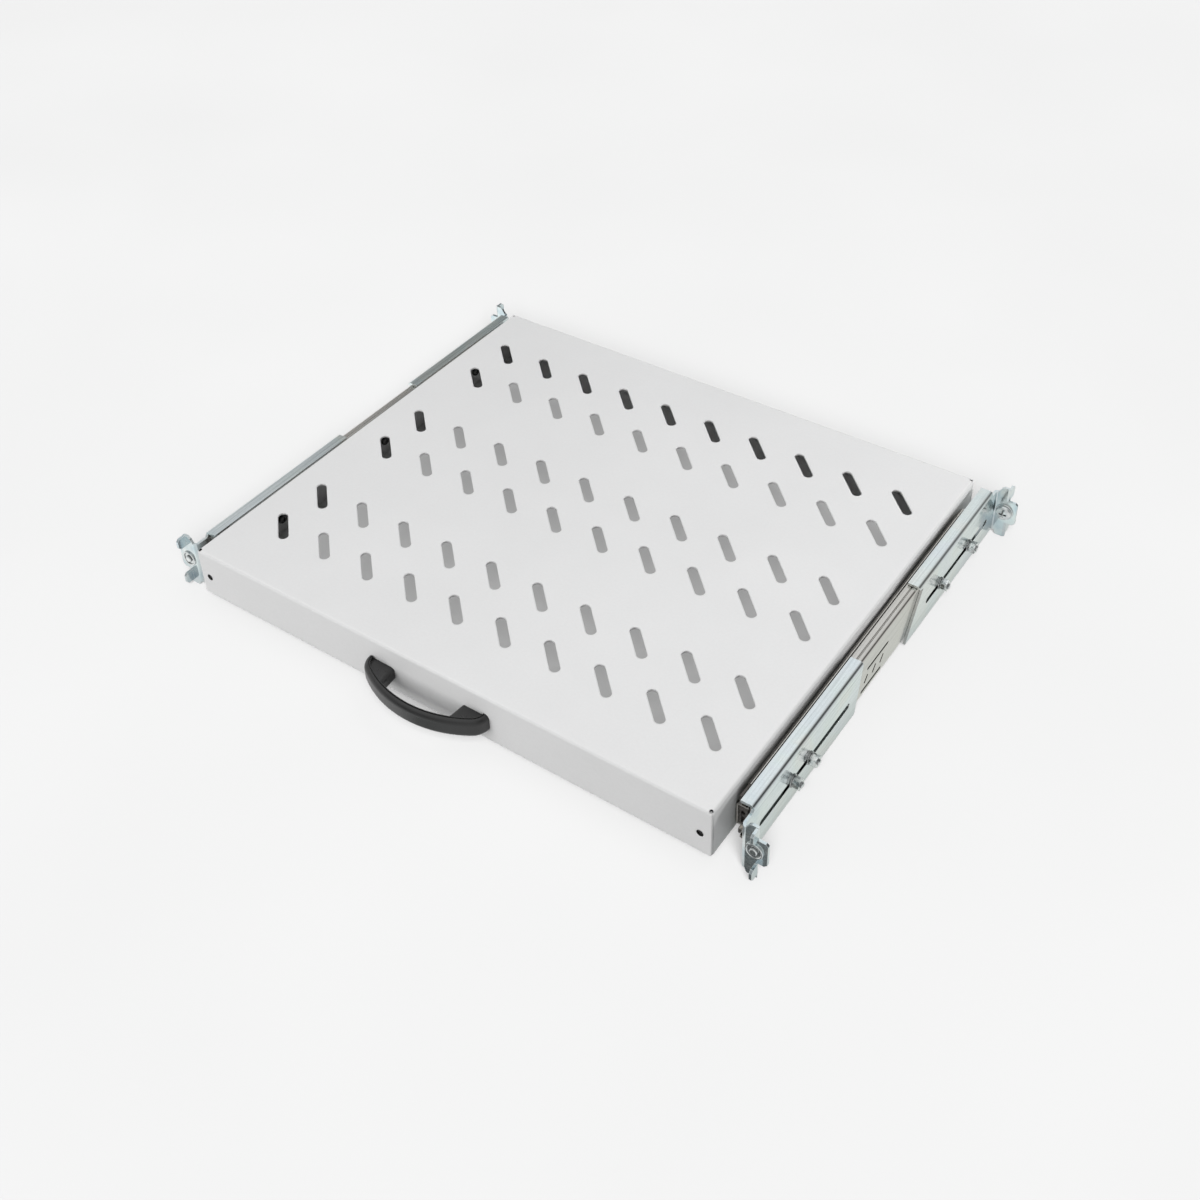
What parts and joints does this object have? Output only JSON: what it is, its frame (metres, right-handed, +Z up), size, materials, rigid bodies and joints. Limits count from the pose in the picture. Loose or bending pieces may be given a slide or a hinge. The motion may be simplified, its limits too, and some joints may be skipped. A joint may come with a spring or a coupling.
{
  "type": "sliding rack shelf",
  "caption": "Sliding shelf for a 19-inch rack: slotted grey steel tray with a black bow handle on ball-bearing slides, held by depth-adjustable zinc brackets with hook lugs and captive screws.",
  "frame": {"origin": "centre of the bounding box in plan, on the plane of the lowest bracket tongues", "axes": "+X to the right across the rack, -Y out of the rack's front (the handle side), +Z up"},
  "size_m": [0.4826, 0.4037, 0.048],
  "materials": {
    "grey_paint": "fine-textured light grey powder coat",
    "black_plastic": "satin black moulded plastic",
    "black_clip": "matt black moulded plastic",
    "black_rubber": "matt rubber",
    "bracket_zinc": "bright zinc plate with a faint blue passivation",
    "slide_plate": "satin zinc plate",
    "cage_steel": "plain stamped steel",
    "ball_steel": "polished bearing steel",
    "nut_zinc": "bright zinc plated fastener",
    "black_screw": "blackened steel screw",
    "zinc_screw": "zinc plated screw"
  },
  "bodies": {
    "rails": {"outer_rail_left": "slide_plate", "rail_studs_left": "zinc_screw", "bracket_washers_left": "nut_zinc", "bracket_lock_washers_left": "nut_zinc", "bracket_nuts_left": "nut_zinc", "rail_buffer_left": "black_rubber", "outer_rail_right": "slide_plate", "rail_studs_right": "zinc_screw", "bracket_washers_right": "nut_zinc", "bracket_lock_washers_right": "nut_zinc", "bracket_nuts_right": "nut_zinc", "rail_buffer_right": "black_rubber"},
    "tray": {"shelf_tray": "grey_paint", "handle": "black_plastic", "handle_screws": "zinc_screw", "inner_rail_left": "slide_plate", "inner_rail_stop_left": "black_clip", "tray_screws_left": "black_screw", "slide_spacers_left": "zinc_screw", "inner_rail_right": "slide_plate", "inner_rail_stop_right": "black_clip", "tray_screws_right": "black_screw", "slide_spacers_right": "zinc_screw"},
    "middle_member_left": {"intermediate_rail_left": "slide_plate", "rail_clip_left": "black_clip"},
    "outer_retainer_left": {"outer_ball_cage_left": "cage_steel", "outer_balls_left": "ball_steel"},
    "inner_retainer_left": {"inner_ball_cage_left": "cage_steel", "inner_balls_left": "ball_steel"},
    "front_bracket_left": {"front_bracket_left": "bracket_zinc", "front_rack_screw_left": "nut_zinc", "front_screw_washer_left": "nut_zinc", "front_screw_retainer_left": "nut_zinc"},
    "rear_bracket_left": {"rear_bracket_left": "bracket_zinc", "rear_rack_screw_left": "nut_zinc", "rear_screw_washer_left": "nut_zinc", "rear_screw_retainer_left": "nut_zinc"},
    "middle_member_right": {"intermediate_rail_right": "slide_plate", "rail_clip_right": "black_clip"},
    "outer_retainer_right": {"outer_ball_cage_right": "cage_steel", "outer_balls_right": "ball_steel"},
    "inner_retainer_right": {"inner_ball_cage_right": "cage_steel", "inner_balls_right": "ball_steel"},
    "front_bracket_right": {"front_bracket_right": "bracket_zinc", "front_rack_screw_right": "nut_zinc", "front_screw_washer_right": "nut_zinc", "front_screw_retainer_right": "nut_zinc"},
    "rear_bracket_right": {"rear_bracket_right": "bracket_zinc", "rear_rack_screw_right": "nut_zinc", "rear_screw_washer_right": "nut_zinc", "rear_screw_retainer_right": "nut_zinc"}
  },
  "joints": [
    {"name": "tray_slide", "type": "slide", "parent": "rails", "child": "tray", "axis": [0, -1, 0], "range_m": [0, 0.32]},
    {"name": "middle_member_left_slide", "type": "slide", "parent": "rails", "child": "middle_member_left", "axis": [0, -1, 0], "range_m": [0, 0.16]},
    {"name": "outer_retainer_left_slide", "type": "slide", "parent": "rails", "child": "outer_retainer_left", "axis": [0, -1, 0], "range_m": [0, 0.08]},
    {"name": "inner_retainer_left_slide", "type": "slide", "parent": "rails", "child": "inner_retainer_left", "axis": [0, -1, 0], "range_m": [0, 0.24]},
    {"name": "front_bracket_left_adjust", "type": "slide", "parent": "rails", "child": "front_bracket_left", "axis": [0, -1, 0], "range_m": [-0.0355, 0.049]},
    {"name": "rear_bracket_left_adjust", "type": "slide", "parent": "rails", "child": "rear_bracket_left", "axis": [0, 1, 0], "range_m": [-0.03, 0.0205]},
    {"name": "middle_member_right_slide", "type": "slide", "parent": "rails", "child": "middle_member_right", "axis": [0, -1, 0], "range_m": [0, 0.16]},
    {"name": "outer_retainer_right_slide", "type": "slide", "parent": "rails", "child": "outer_retainer_right", "axis": [0, -1, 0], "range_m": [0, 0.08]},
    {"name": "inner_retainer_right_slide", "type": "slide", "parent": "rails", "child": "inner_retainer_right", "axis": [0, -1, 0], "range_m": [0, 0.24]},
    {"name": "front_bracket_right_adjust", "type": "slide", "parent": "rails", "child": "front_bracket_right", "axis": [0, -1, 0], "range_m": [-0.0355, 0.049]},
    {"name": "rear_bracket_right_adjust", "type": "slide", "parent": "rails", "child": "rear_bracket_right", "axis": [0, 1, 0], "range_m": [-0.03, 0.0205]}
  ],
  "couplings": [
    {"joint": "middle_member_left_slide", "follows": "tray_slide", "ratio": 0.5},
    {"joint": "outer_retainer_left_slide", "follows": "tray_slide", "ratio": 0.25},
    {"joint": "inner_retainer_left_slide", "follows": "tray_slide", "ratio": 0.75},
    {"joint": "middle_member_right_slide", "follows": "tray_slide", "ratio": 0.5},
    {"joint": "outer_retainer_right_slide", "follows": "tray_slide", "ratio": 0.25},
    {"joint": "inner_retainer_right_slide", "follows": "tray_slide", "ratio": 0.75}
  ]
}
